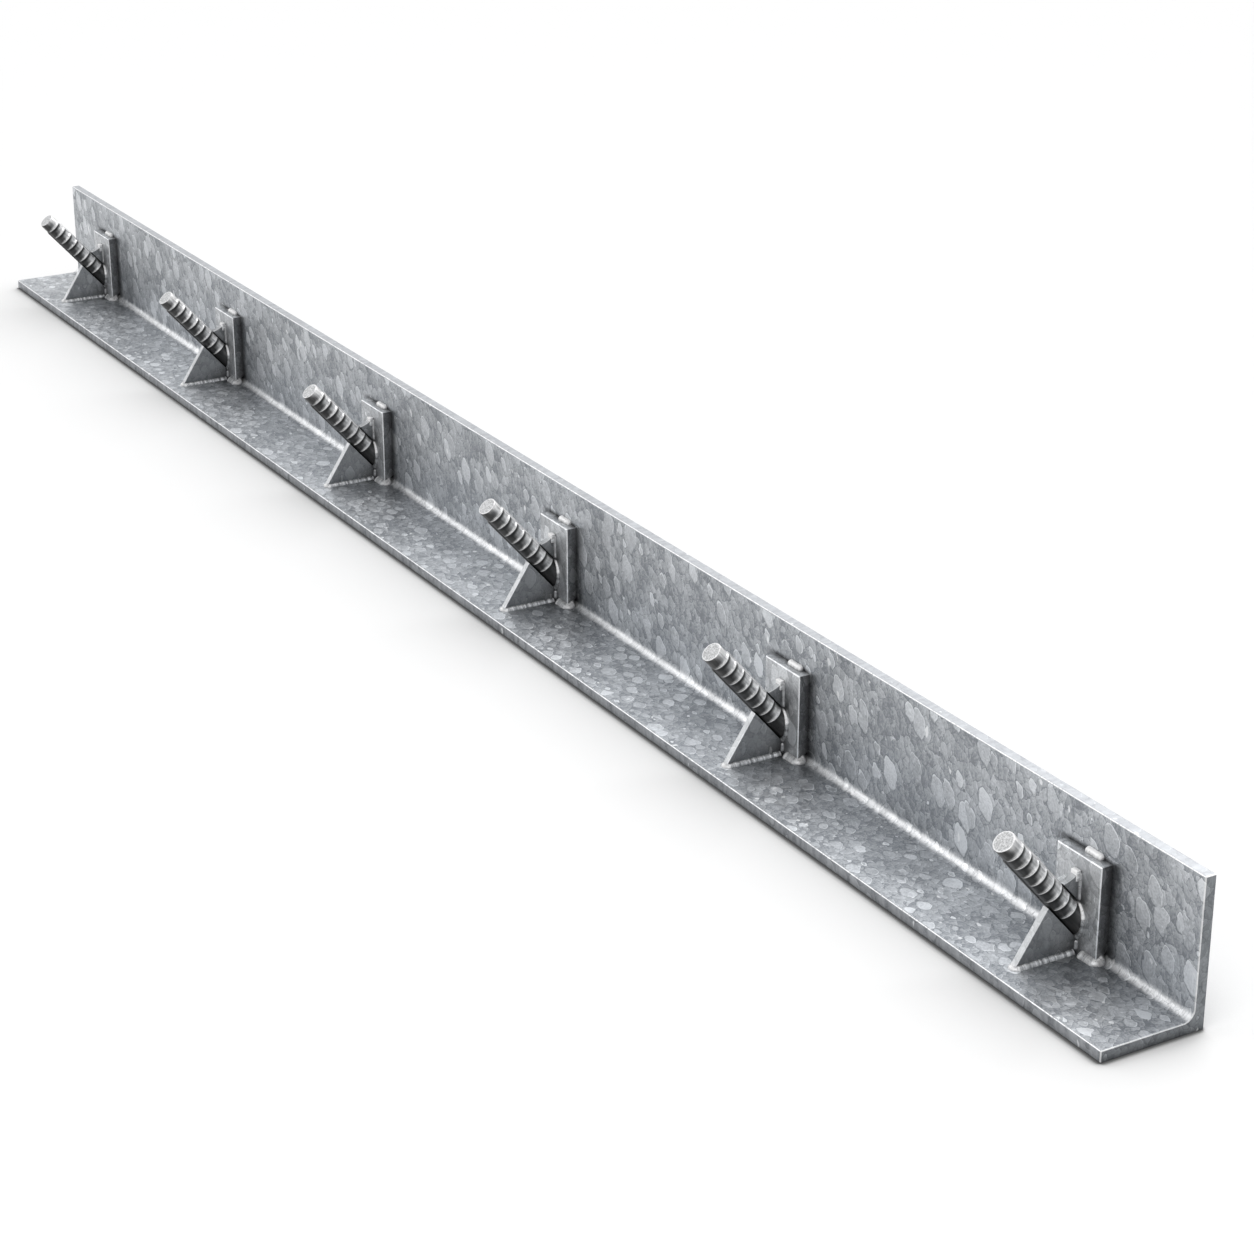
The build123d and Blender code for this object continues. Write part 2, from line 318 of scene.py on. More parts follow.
def make_flakes():
    """Zinc spangle: pale leaf-shaped flakes scattered over a field of small ones, finely feathered inside."""
    t, given, result = new_group(
        "zinc_flakes",
        [
            ("Vector", "NodeSocketVector", None),
            ("Flake Size", "NodeSocketFloat", 0.012),
            ("Dark Tone", "NodeSocketColor", (0.2, 0.21, 0.22, 1)),
            ("Pale Tone", "NodeSocketColor", (0.4, 0.42, 0.44, 1)),
            ("Contrast", "NodeSocketFloat", 1.0),
        ],
        [("Color", "NodeSocketColor"), ("Roughness", "NodeSocketFloat"), ("Height", "NodeSocketFloat")],
    )
    # The flakes lean, stand taller than they are wide, and their edges wander a few millimetres
    surface = given["Vector"]
    spot = turned(t, wandering(t, surface, 120.0, 2.0, 7 * mm), field_lean, "Y_AXIS")
    spot = stretched(t, spot, field_stretch)
    leaf_spot = turned(t, wandering(t, surface, 170.0, 1.0, 3.5 * mm), leaf_lean, "Y_AXIS")
    leaf_spot = stretched(t, leaf_spot, leaf_stretch)

    fine_scale = sums(t, "DIVIDE", field_density, given["Flake Size"])
    leaf_scale = sums(t, "DIVIDE", leaf_density, given["Flake Size"])
    fine_place = {"Vector": spot, "Scale": fine_scale}
    leaf_place = {"Vector": leaf_spot, "Scale": leaf_scale, "Exponent": leaf_corner}
    fine = put(t, "ShaderNodeTexVoronoi", fine_place)
    fine_edge = put(t, "ShaderNodeTexVoronoi", fine_place, feature="DISTANCE_TO_EDGE")
    leaf = put(t, "ShaderNodeTexVoronoi", leaf_place, distance="MINKOWSKI")
    fine_random = split_color(t, fine)
    leaf_random = split_color(t, leaf)

    # A leaf covers the middle of its cell, wider in some cells than in others, with a dark line round it
    leaf_reach = sums(t, "MULTIPLY_ADD", leaf_random["Green"], 0.58, 0.07)
    inside_leaf = sums(t, "SUBTRACT", leaf_reach, leaf.outputs["Distance"])
    leaf_strength = ramp(t, leaf_random["Blue"], 0.1, 0.6, 0.55, 1.0)
    on_leaf = sums(t, "MULTIPLY", ramp(t, inside_leaf, -0.006, 0.012), leaf_strength)
    outline = ramp(t, sums(t, "ABSOLUTE", sums(t, "ADD", inside_leaf, 0.02)), 0.0, 0.02, 1.0, 0.0)
    leaf_rim = sums(t, "MULTIPLY", on_leaf, ramp(t, inside_leaf, 0.02, 0.07, 1.0, 0.0))
    fine_rim = ramp(t, fine_edge.outputs["Distance"], 0.0, 0.07, 1.0, 0.0)

    # Painted light: each flake and leaf is shaded as if tilted to a light from one way, so that one side of it is
    # pale and the other dark
    flake_lights = []
    for cells, place, scale in ((fine, spot, fine_scale), (leaf, leaf_spot, leaf_scale)):
        inside = vectors(t, "SUBTRACT", place, cells.outputs["Position"])[0]
        flake_lights.append(vectors(t, "DOT_PRODUCT", scaled(t, inside, scale), painted_light_way)["Value"])
    fine_painted_light, leaf_painted_light = flake_lights

    # Feathering drawn out in a direction of its own in each flake, grain, clouds and a few bright specks
    turn = scaled(t, fine.outputs["Color"], full_turn)
    drawn = {"Vector": surface, "Rotation": turn}
    drawn = put(t, "ShaderNodeVectorRotate", drawn, rotation_type="EULER_XYZ").outputs[0]
    feather = noise(t, stretched(t, drawn, (160, 800, 800)), 1.0, 2.0)["Fac"]
    grain = noise(t, surface, 650.0, 3.0)["Fac"]
    cloud = noise(t, surface, 26.0, 3.0)["Fac"]
    speck = put(t, "ShaderNodeTexVoronoi", {"Vector": stretched(t, spot, (1.0, 1.0, 0.55)), "Scale": 150.0})
    speck_reach = sums(t, "MULTIPLY_ADD", split_color(t, speck)["Red"], 1.9, -1.62)
    bright_speck = ramp(t, sums(t, "SUBTRACT", speck_reach, speck.outputs["Distance"]), -0.02, 0.05)

    # The tone: the field and the leaves, stirred, with dark lines between flakes on their painted-shade side and
    # painted highlights on the rims of the leaves on their lit side
    field = sums(t, "MULTIPLY_ADD", fine_random["Red"], 0.36, 0.12)
    field = sums(t, "MULTIPLY_ADD", fine_painted_light, 0.24, field)
    leaves = sums(t, "MULTIPLY_ADD", leaf_random["Red"], 0.42, 0.46)
    leaves = sums(t, "MULTIPLY_ADD", leaf_painted_light, 0.2, leaves)
    tone = sums(t, "MULTIPLY_ADD", sums(t, "SUBTRACT", leaves, field), on_leaf, field)
    for pattern, weight in ((feather, feather_weight), (grain, grain_weight), (cloud, cloud_weight)):
        tone = stir(t, tone, pattern, weight)
    off_leaf = sums(t, "SUBTRACT", 1.0, on_leaf)
    dark_side = ramp(t, fine_painted_light, -0.05, 0.3, 1.0, -0.35)
    line = sums(t, "MULTIPLY", sums(t, "MULTIPLY", fine_rim, off_leaf), dark_side)
    tone = sums(t, "MULTIPLY_ADD", line, flake_line, tone)
    rim_side = ramp(t, leaf_painted_light, -0.1, 0.2, -0.5, 1.0)
    tone = sums(t, "MULTIPLY_ADD", sums(t, "MULTIPLY", leaf_rim, rim_side), leaf_rim_light, tone)
    tone = sums(t, "MULTIPLY_ADD", sums(t, "MULTIPLY", outline, leaf_strength), leaf_outline, tone)
    centred = sums(t, "SUBTRACT", tone, middle_tone)
    tone = sums(t, "MULTIPLY_ADD", centred, given["Contrast"], shown_middle, clamp=True)
    color = blend(t, tone, given["Dark Tone"], given["Pale Tone"])
    t.links.new(blend(t, sums(t, "MULTIPLY", bright_speck, 0.8), color, speck_color), result["Color"])

    rough = sums(t, "MULTIPLY_ADD", fine_random["Blue"], 0.14, 0.3)
    t.links.new(sums(t, "MULTIPLY_ADD", grain, 0.12, rough), result["Roughness"])
    height = sums(t, "MULTIPLY", fine.outputs["Distance"], -0.5)
    for pattern, weight in ((fine_random["Green"], 0.35), (on_leaf, 0.5), (feather, 0.25)):
        height = sums(t, "MULTIPLY_ADD", pattern, weight, height)
    t.links.new(height, result["Height"])
    return t


def make_edge_masks():
    """Masks for painted highlights and shade: 1 where the surface turns over an edge (Edge, and Front for the
    edges between front and top), where it is square to X (Side) and where it looks down (Under)."""
    t, given, result = new_group(
        "edge_masks",
        [(name, "NodeSocketFloat", value) for name, value in (("Start", 0.7), ("Full", 1.0), ("Ragged", 0.0))],
        [(name, "NodeSocketFloat") for name in ("Edge", "Front", "Side", "Under")],
    )
    facing = facing_of(t)
    across = sums(t, "ABSOLUTE", facing["X"])
    rest = sums(t, "SQRT", sums(t, "SUBTRACT", 1.0, sums(t, "MULTIPLY", across, across), clamp=True))
    side = sums(t, "MULTIPLY", sums(t, "MULTIPLY", across, 2.0), rest)
    front = sums(t, "MULTIPLY", sums(t, "MULTIPLY", facing["Y"], -2.0), facing["Z"], clamp=True)
    front = sums(t, "ADD", front, given["Ragged"])
    steps = []
    for turning in (side, front):
        limits = {"Value": turning, "From Min": given["Start"], "From Max": given["Full"]}
        steps.append(put(t, "ShaderNodeMapRange", limits).outputs[0])
    t.links.new(sums(t, "MAXIMUM", steps[0], steps[1]), result["Edge"])
    t.links.new(steps[1], result["Front"])
    t.links.new(ramp(t, across, 0.85, 0.98), result["Side"])
    t.links.new(ramp(t, facing["Z"], -0.3, -0.02, 1.0, 0.0), result["Under"])
    return t


flakes = make_flakes()
edge_masks = make_edge_masks()


def painted_corner_shade(tree, color, reach, darkest):
    """Painted shade: the colour darkened down to darkest in the tight corners between pieces, within reach."""
    corner = put(tree, "ShaderNodeAmbientOcclusion", {"Distance": reach}, samples=corner_samples).outputs["AO"]
    return scaled(tree, color, ramp(tree, corner, 0.35, 0.85, darkest, 1.0))


def painted_plate_shadow(tree, spot, facing):
    """Painted shadow on the upright leg round each plate: 0 against a plate and 1 clear of it."""
    place = put(tree, "ShaderNodeSeparateXYZ", {0: spot}).outputs
    ragged = noise(tree, spot, 400.0, 2.0)["Fac"]
    from_first = sums(tree, "SUBTRACT", place["X"], station_x(1))
    half_bay = (station_x(2) - station_x(1)) / 2
    past_side = sums(tree, "SUBTRACT", sums(tree, "PINGPONG", from_first, half_bay), plate_half)
    past_top = sums(tree, "SUBTRACT", place["Z"], plate_top)
    across = sums(tree, "MAXIMUM", past_side, 0.0)
    above = sums(tree, "MULTIPLY", sums(tree, "MAXIMUM", past_top, 0.0), 3.6)
    gap = sums(tree, "SQRT", sums(tree, "MULTIPLY_ADD", across, across, sums(tree, "MULTIPLY", above, above)))
    gap = stir(tree, gap, ragged, 6 * mm)
    return sums(tree, "MAXIMUM", ramp(tree, gap, 2 * mm, 13 * mm), ramp(tree, facing["Y"], -0.9, -0.6))


def paint_root_highlight(t, color, edge_mask, spot, share):
    """Painted highlight: a bright, finely hatched line along the rolled radii."""
    hatch = noise(t, stretched(t, spot, (330, 60, 60)), 1.0, 4.0)["Fac"]
    t.links.new(sums(t, "MULTIPLY_ADD", hatch, 0.6, -0.3), edge_mask.inputs["Ragged"])
    edge_mask.inputs["Start"].default_value = 0.58
    edge_mask.inputs["Full"].default_value = 0.94
    scratch = ramp(t, sums(t, "ABSOLUTE", sums(t, "SUBTRACT", hatch, 0.52)), 0.0, 0.035, 0.3, 1.0)
    bright = sums(t, "MULTIPLY", sums(t, "MULTIPLY", edge_mask.outputs["Front"], share), scratch)
    return blend(t, bright, color, root_highlight_color)


def spangled(
    name, dark, pale, size, contrast, bump, reach, darkest, edge=0.0, side=1.0, root=0.0, drag=0.0, plate_shadow=0.0
):
    """Spangled zinc, with painted shade down to darkest in corners within reach. Edge paints a highlight on the
    edges, side paints shade on the faces square to X, root paints a highlight along the rolled radii, drag
    streaks the zinc across X, and plate_shadow paints a shadow round the backing plates."""
    material, t, shader, spot = new_material(name)
    tones = {"Dark Tone": (*dark, 1), "Pale Tone": (*pale, 1), "Contrast": contrast}
    zinc = put(t, "ShaderNodeGroup", {"Vector": spot, "Flake Size": size, **tones}, node_tree=flakes)
    color = zinc.outputs["Color"]
    if drag:
        streak = noise(t, stretched(t, spot, (210, 30, 30)), 1.0, 3.0)["Fac"]
        color = blend(t, ramp(t, streak, 0.35, 0.7, 0.0, drag), color, (*pale, 1))
    # Painted shade in the tight corners between pieces
    color = painted_corner_shade(t, color, reach, darkest)
    # Painted shadow round the backing plates, darkest against them
    if plate_shadow:
        clear = painted_plate_shadow(t, spot, facing_of(t))
        color = scaled(t, color, sums(t, "MULTIPLY_ADD", clear, plate_shadow, 1 - plate_shadow))
    edge_mask = put(t, "ShaderNodeGroup", node_tree=edge_masks)
    # Painted shade on the faces that look down
    color = blend(t, sums(t, "MULTIPLY", edge_mask.outputs["Under"], 0.9), color, underside_shade_color)
    # Painted shade on the faces square to X
    if side < 1:
        color = scaled(t, color, sums(t, "MULTIPLY_ADD", edge_mask.outputs["Side"], side - 1, 1.0))
    # Painted highlight on the edges
    if edge:
        color = blend(t, sums(t, "MULTIPLY", edge_mask.outputs["Edge"], edge), color, edge_highlight_color)
    # Painted highlight along the rolled radii
    if root:
        color = paint_root_highlight(t, color, edge_mask, spot, root)
    t.links.new(color, shader.inputs["Base Color"])
    t.links.new(zinc.outputs["Roughness"], shader.inputs["Roughness"])
    shader.inputs["Metallic"].default_value = 0.85
    emboss(t, shader, zinc.outputs["Height"], bump, 0.6 * mm)
    return material


def bar_steel():
    """Dipped bar: streaks along it, painted highlights on the rib crests, painted shadow beside the ribs and
    painted shade underneath.
    """
    material, t, shader, spot = new_material("dipped_bar")
    grain = noise(t, spot, 320.0, 4.0)["Fac"]
    upright = turned(t, spot, bar_tilt - pi / 2, "X_AXIS")
    streak = noise(t, stretched(t, upright, (450, 450, 70)), 1.0, 3.0)["Fac"]
    tone = sums(t, "MULTIPLY_ADD", grain, 0.7, sums(t, "MULTIPLY_ADD", streak, 2.3, -1.0), clamp=True)
    color = blend(t, tone, bar_dull, white)
    facing = facing_of(t)
    # Painted shade: darker where the bar faces down
    color = scaled(t, color, ramp(t, facing["Z"], -0.3, 0.35, 0.07, 1.0))
    # Painted shadow in a strip beside each rib
    color = blend(t, sums(t, "MULTIPLY", marked(t, "rib_shadow"), 0.92), color, rib_shadow_color)
    # Painted highlight on the rib crests, brightest where they face up
    crest = marked(t, "crest")
    crest_highlight = sums(t, "MULTIPLY", crest, ramp(t, facing["Z"], -0.5, 0.3, 0.35, 1.0))
    color = blend(t, crest_highlight, color, crest_highlight_color)
    # Painted shade in the tight corners round the bar
    color = painted_corner_shade(t, color, 10 * mm, 0.12)
    t.links.new(color, shader.inputs["Base Color"])
    t.links.new(sums(t, "MULTIPLY_ADD", grain, 0.2, 0.22), shader.inputs["Roughness"])
    t.links.new(sums(t, "MULTIPLY_ADD", crest, -0.45, 0.5), shader.inputs["Metallic"])
    emboss(t, shader, streak, 0.4, 0.4 * mm)
    return material


def sawn_end():
    """The bar's sawn end: pale zinc with a fine mottle and a painted highlight on its rim."""
    material, t, shader, spot = new_material("sawn_end")
    mottle = noise(t, spot, 900.0, 3.0)["Fac"]
    color = blend(t, ramp(t, mottle, 0.35, 0.65), sawn_dull, sawn_pale)
    # Painted highlight round the rim
    color = blend(t, sums(t, "MULTIPLY", marked(t, "rim_highlight"), 0.8), color, sawn_rim_highlight)
    t.links.new(color, shader.inputs["Base Color"])
    shader.inputs["Roughness"].default_value = 0.5
    shader.inputs["Metallic"].default_value = 0.4
    emboss(t, shader, mottle, 0.12, 0.2 * mm)
    return material


def weld_zinc(name, dull, pale, shine):
    """Weld bead under zinc: bands across its run, painted shade in the dips between ripples, in corners and on
    parts marked shaded, and painted glints.
    """
    material, t, shader, spot = new_material(name)
    along = {"W": marked(t, "run"), "Scale": 420.0, "Detail": 2.0}
    bands = put(t, "ShaderNodeTexNoise", along, noise_dimensions="1D").outputs["Fac"]
    grain = noise(t, spot, 500.0, 3.0)["Fac"]
    tone = sums(t, "MULTIPLY_ADD", sums(t, "SUBTRACT", grain, 0.5), 0.5, ramp(t, bands, 0.3, 0.7), clamp=True)
    color = blend(t, tone, (*dull, 1), (*pale, 1))
    # Painted shade in the dips between ripples
    color = blend(t, sums(t, "MULTIPLY", marked(t, "valley"), 0.12), color, valley_shade_color)
    # Painted shade in the corners beside the bead
    color = painted_corner_shade(t, color, 4 * mm, 0.65)
    # Painted shade on the parts marked shaded
    color = blend(t, sums(t, "MULTIPLY", marked(t, "shaded"), 0.8), color, shaded_color)
    # Painted glints: the colour whitened near the bead's glint points
    glint = marked(t, "shine")
    color = blend(t, sums(t, "MULTIPLY", glint, shine), color, white)
    t.links.new(color, shader.inputs["Base Color"])
    t.links.new(sums(t, "MULTIPLY_ADD", grain, 0.2, 0.2), shader.inputs["Roughness"])
    t.links.new(sums(t, "MULTIPLY_ADD", glint, -0.4, 0.5), shader.inputs["Metallic"])
    emboss(t, shader, sums(t, "MULTIPLY_ADD", bands, 1.0, grain), 0.35, 0.3 * mm)
    return material


# Painted shade in corners, a painted highlight along the root radius and a painted shadow round the plates
leg_zinc = spangled(
    "leg_zinc", dark=(0.24, 0.255, 0.275), pale=(0.7, 0.72, 0.745), size=8 * mm, contrast=1.05, bump=0.35,
    reach=18 * mm, darkest=0.35, root=0.55, plate_shadow=0.6,
)
# A darker copy for the top face, painted shade, with a painted highlight along its front edge
edge_zinc = spangled(
    "edge_zinc", dark=(0.24, 0.25, 0.27), pale=(0.48, 0.495, 0.515), size=7 * mm, contrast=0.4, bump=0.2,
    reach=8 * mm, darkest=0.3, root=0.95, drag=0.5,
)
# A darker copy for the cut ends, painted shade
cut_zinc = spangled(
    "cut_zinc", dark=(0.12, 0.13, 0.14), pale=(0.3, 0.315, 0.33), size=8 * mm, contrast=0.8, bump=0.3,
    reach=10 * mm, darkest=0.5,
)
# A darker copy for the toe face, painted shade, darkest at its foot as a painted contact shadow, with a painted
# highlight along its top edge
toe_zinc = spangled(
    "toe_zinc", dark=(0.17, 0.18, 0.195), pale=(0.42, 0.435, 0.455), size=7 * mm, contrast=0.9, bump=0.2,
    reach=3 * mm, darkest=0.12, root=0.9, drag=0.7,
)
# A paler copy for the inward round of the cut ends, a painted highlight
rim_highlight_zinc = spangled(
    "rim_highlight_zinc", dark=(0.5, 0.51, 0.52), pale=(0.85, 0.855, 0.86), size=8 * mm, contrast=0.6, bump=0.2,
    reach=4 * mm, darkest=0.8,
)
# Painted highlights on the plate's edges and painted shade on its faces square to X
plate_zinc = spangled(
    "plate_zinc", dark=(0.4, 0.41, 0.425), pale=(0.8, 0.815, 0.83), size=8 * mm, contrast=1.2, bump=0.3,
    reach=12 * mm, darkest=0.4, edge=0.45, side=0.4,
)
# A darker copy, painted shade, with painted highlights on its edges and its faces square to X painted a little
# darker
gusset_zinc = spangled(
    "gusset_zinc", dark=(0.28, 0.29, 0.3), pale=(0.55, 0.565, 0.58), size=7 * mm, contrast=0.8, bump=0.3,
    reach=20 * mm, darkest=0.35, edge=0.35, side=0.9,
)
bar_zinc = bar_steel()
end_zinc = sawn_end()
# Copies of one weld zinc: the foot weld's paler, painted light on beads that lie in shade, and the ring's darker,
# painted shade below its glints
bead_zinc = weld_zinc("bright_weld", dull=(0.26, 0.265, 0.275), pale=(0.78, 0.79, 0.8), shine=1.0)
foot_zinc = weld_zinc("foot_weld_zinc", dull=(0.5, 0.51, 0.52), pale=(1, 1, 1), shine=1.0)
ring_zinc = weld_zinc("ring_weld", dull=(0.16, 0.165, 0.17), pale=(0.45, 0.46, 0.47), shine=1.0)
seam_zinc = weld_zinc("dull_weld", dull=(0.3, 0.305, 0.31), pale=(0.4, 0.41, 0.42), shine=0.3)


# The rolled angle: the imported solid's own form, with its cut ends dressed

def angle_face_zinc(face):
    """The zinc of one face of the angle, by where it lies. The top face, toe and cut ends take copies of the
    leg's zinc painted darker as shade, the inward round a copy painted paler as a highlight.
    """
    from_end = angle_end - abs(face.center.x)
    inward = face.normal.y < -0.1 or face.normal.z > 0.1
    if from_end < end_band:
        return cut_zinc
    if from_end < end_round:
        return rim_highlight_zinc if inward else cut_zinc
    if face.center.z > angle_high.z - edge_band:
        return edge_zinc
    if face.center.y < angle_low.y + edge_band:
        return toe_zinc
    return leg_zinc


def dress_angle():
    pick(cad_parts["angle_section"])
    bpy.ops.object.duplicate()
    angle = bpy.context.active_object
    angle.name = "rolled_angle"
    for key in list(angle.keys()):
        del angle[key]
    bpy.ops.mesh.customdata_custom_splitnormals_clear()
    bpy.ops.object.mode_set(mode="EDIT")
    bpy.ops.mesh.select_all(action="SELECT")
    bpy.ops.mesh.remove_doubles(threshold=merge_distance)
    bpy.ops.mesh.dissolve_limited(angle_limit=radians(0.5))
    for way in (-1, 1):
        bpy.ops.mesh.select_all(action="DESELECT")
        bpy.ops.object.mode_set(mode="OBJECT")
        for face in angle.data.polygons:
            face.select = face.center.x * way > angle_end - end_band
        bpy.ops.object.mode_set(mode="EDIT")
        bpy.ops.mesh.select_mode(type="FACE")
        bpy.ops.transform.translate(value=(-way * end_round, 0, 0))
        for inward, outward in ((0.3, 0.7), (0.7, 0.3)):
            bpy.ops.mesh.inset(thickness=end_round * inward, depth=end_round * outward)
    bpy.ops.object.mode_set(mode="OBJECT")
    finish_mesh(angle, 40)
    angle.modifiers.new("flat_faces", "WEIGHTED_NORMAL").keep_sharp = True
    bpy.ops.object.modifier_apply(modifier="flat_faces")
    zincs = [leg_zinc, edge_zinc, cut_zinc, toe_zinc, rim_highlight_zinc]
    angle.data.materials.clear()
    for material in zincs:
        angle.data.materials.append(material)
    for face in angle.data.polygons:
        face.material_index = zincs.index(angle_face_zinc(face))
    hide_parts("angle_section")
    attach(angle, "root")


# The ribbed anchor bar

def rib_profile(axial):
    """Share of a rib's full height at this distance along the bar."""
    for rib in range(rib_count):
        past = axial - first_rib - rib * rib_pitch
        if -rib_rise <= past <= 0:
            return 1 + past / rib_rise
        if 0 < past < rib_fall:
            return 1 - past / rib_fall
    return 0.0


def draw_bar():
    """The bar's plain round form, upright on the origin, with rows of points where its ribs will rise."""
    foot = -(bar_radius + spine_height) * tan(bar_tilt)
    rows = [(foot, 1.0)]
    for rib in range(rib_count):
        rows += [(first_rib + rib * rib_pitch + past * mm, 1.0) for past in rib_rows]
    rows += [(bar_length - back * mm, width) for back, width in end_rows]
    bpy.ops.object.select_all(action="DESELECT")
    bpy.ops.mesh.primitive_circle_add(
        vertices=bar_sides, radius=bar_radius, fill_type="NGON", location=(0, 0, foot)
    )
    bar = bpy.context.active_object
    bar.name = "ribbed_bar"
    bpy.ops.object.mode_set(mode="EDIT")
    for (below, width_below), (above, width) in zip(rows, rows[1:]):
        bpy.ops.mesh.extrude_region_move(TRANSFORM_OT_translate={"value": (0, 0, above - below)})
        if width != width_below:
            narrow = width / width_below
            bpy.ops.transform.resize(value=(narrow, narrow, 1))
    bpy.ops.object.mode_set(mode="OBJECT")
    finish_mesh(bar, bar_smooth_angle)
    return bar


def raise_ribs(bar):
    """Raise the ribs and spines, and mark the crests for a painted highlight, a strip beside each for a painted
    shadow and the rim of the sawn end for a painted highlight.
    """
    heights = bar.vertex_groups.new(name="ribs")
    crests = []
    rib_shadows = []
    rim_highlights = []
    spine_end = bar_length - rib_pitch
    for vertex in bar.data.vertices:
        x, y, z = vertex.co
        from_spine = degrees(atan2(abs(x), abs(y)))
        across = between(from_spine, *rib_start)
        spine = between(from_spine, *reversed(spine_fade)) * between(z, spine_end, spine_end - 2 * mm)
        share = max(rib_profile(z) * across * rib_share, spine)
        if share > 0 and z < bar_length - 0.6 * mm:
            heights.add([vertex.index], share, "REPLACE")
        past = (z - first_rib + rib_pitch / 2) % rib_pitch - rib_pitch / 2
        ribbed = first_rib - rib_pitch / 2 < z < bar_length - rib_pitch / 2
        crests.append(across if ribbed and abs(past) < 0.3 * mm else 0.0)
        rib_shadows.append(across if ribbed and -2.3 * mm < past < -1.0 * mm else 0.0)
        rim_highlights.append(1.0 if hypot(x, y) > 0.9 * bar_radius else 0.0)
    mark(bar, "crest", crests)
    mark(bar, "rib_shadow", rib_shadows)
    mark(bar, "rim_highlight", rim_highlights)
    raised = bar.modifiers.new("raise_ribs", "DISPLACE")
    raised.vertex_group = "ribs"
    raised.strength = spine_height
    raised.mid_level = 0.0
    pick(bar)
    bpy.ops.object.modifier_apply(modifier="raise_ribs")


def make_bar():
    """The ribbed bar, leaned to its slant and cut flush with the plate."""
    bar = draw_bar()
    raise_ribs(bar)
    bar.data.materials.append(bar_zinc)
    bar.data.materials.append(end_zinc)
    for face in bar.data.polygons:
        face.material_index = 1 if face.center.z > bar_length - 0.05 * mm else 0
    bar.rotation_euler = (pi / 2 - bar_tilt, 0, 0)
    bar.location = bar_foot
    bpy.ops.object.transform_apply(location=True, rotation=True, scale=True)
    bpy.ops.object.mode_set(mode="EDIT")
    bpy.ops.mesh.select_all(action="SELECT")
    bpy.ops.mesh.bisect(plane_co=(0, plate_front, 0), plane_no=(0, 1, 0), use_fill=True, clear_outer=True)
    bpy.ops.object.mode_set(mode="OBJECT")
    bpy.ops.object.shade_smooth_by_angle(angle=radians(bar_smooth_angle))
    return bar


# Weld beads

def centre_line(corners, turn=0.0):
    """Evenly spaced points along a line through these corners, each corner rounded over the length turn."""
    rough = [corners[0]]
    for before, corner, after in zip(corners, corners[1:], corners[2:]):
        start = corner + (before - corner).normalized() * turn
        end = corner + (after - corner).normalized() * turn
        for share in (0, 0.25, 0.5, 0.75, 1):
            rough.append(start.lerp(corner, share).lerp(corner.lerp(end, share), share))
    rough.append(corners[-1])
    lengths = [(b - a).length for a, b in zip(rough, rough[1:])]
    count = max(4, round(sum(lengths) / bead_spacing))
    route = []
    for number in range(count + 1):
        left = sum(lengths) * number / count
        part = 0
        while part < len(lengths) - 1 and left > lengths[part]:
            left -= lengths[part]
            part += 1
        route.append(rough[part].lerp(rough[part + 1], min(1.0, left / lengths[part])))
    return route


def bead_sizes(runs, dips, girth, closed):
    """The bead's radius at each point: fuller on each ripple, and domed at the ends of an open bead."""
    sizes = []
    for run, dip in zip(runs, dips):
        dome = 1.0
        lump = 0.0
        if not closed:
            from_end = min(run, runs[-1] - run) / girth
            dome = max(0.25, 1 - max(0.0, 1 - 1.8 * from_end) ** 2) ** 0.5
            lump = 0.05 * max(0.0, 1 - abs(from_end - 0.5))
        sizes.append(girth * (1 - ripple_depth * dip + lump) * dome)
    return sizes


def swing_between(before, after, axis):
    """The angle from one heading to the next, round Z or round Y."""
    if axis == "Z":
        return atan2(before.x * after.y - before.y * after.x, before.x * after.x + before.y * after.y)
    return atan2(before.z * after.x - before.x * after.z, before.x * after.x + before.z * after.z)


def lay_bead(
    name, route, girth, turning="Z", material=bead_zinc, glints=(), reach=glint_reach, pitch=ripple_pitch,
    closed=False,
):
    """Carry a ring from point to point along the route and close both ends. The route turns round one axis, and
    the bead's colour is painted with a highlight near its glints."""
    steps = [0.0] + [(b - a).length for a, b in zip(route, route[1:])]
    runs = [sum(steps[: number + 1]) for number in range(len(route))]
    dips = [1 - abs(cos(pi * run / pitch)) for run in runs]
    sizes = bead_sizes(runs, dips, girth, closed)
    headings = [(b - a).normalized() for a, b in zip(route, route[1:])]
    headings.append(headings[-1])
    facing = headings[0].to_track_quat("Z", "X").to_euler()
    bpy.ops.object.select_all(action="DESELECT")
    bpy.ops.mesh.primitive_circle_add(
        vertices=bead_sides, radius=sizes[0], fill_type="NGON", location=route[0], rotation=facing
    )
    bead = bpy.context.active_object
    bead.name = name
    bpy.ops.object.transform_apply(location=True, rotation=True, scale=True)
    bpy.ops.object.mode_set(mode="EDIT")
    bpy.ops.mesh.select_all(action="SELECT")
    for number in range(1, len(route)):
        point = route[number]
        bpy.ops.mesh.extrude_region_move(TRANSFORM_OT_translate={"value": point - route[number - 1]})
        grow = sizes[number] / sizes[number - 1]
        bpy.ops.transform.resize(value=(grow, grow, grow), center_override=point)
        swing = swing_between(headings[number - 1], headings[number], turning)
        if abs(swing) > 0.001:
            turn = {"value": -swing, "orient_axis": turning, "orient_type": "GLOBAL"}
            bpy.ops.transform.rotate(**turn, center_override=point)
    bpy.ops.object.mode_set(mode="OBJECT")
    points = [vertex.co for vertex in bead.data.vertices]
    nearest = [min(range(len(route)), key=lambda n: (route[n] - point).length_squared) for point in points]
    mark(bead, "run", [runs[n] for n in nearest])
    mark(bead, "valley", [dips[n] for n in nearest])
    gaps = [min([(glint - point).length for glint in glints] or [1.0]) for point in points]
    mark(bead, "shine", [max(0.0, min(1.0, 1.4 * (1 - gap / reach))) for gap in gaps])
    bead.data.materials.append(material)
    finish_mesh(bead, bead_smooth_angle)
    return bead


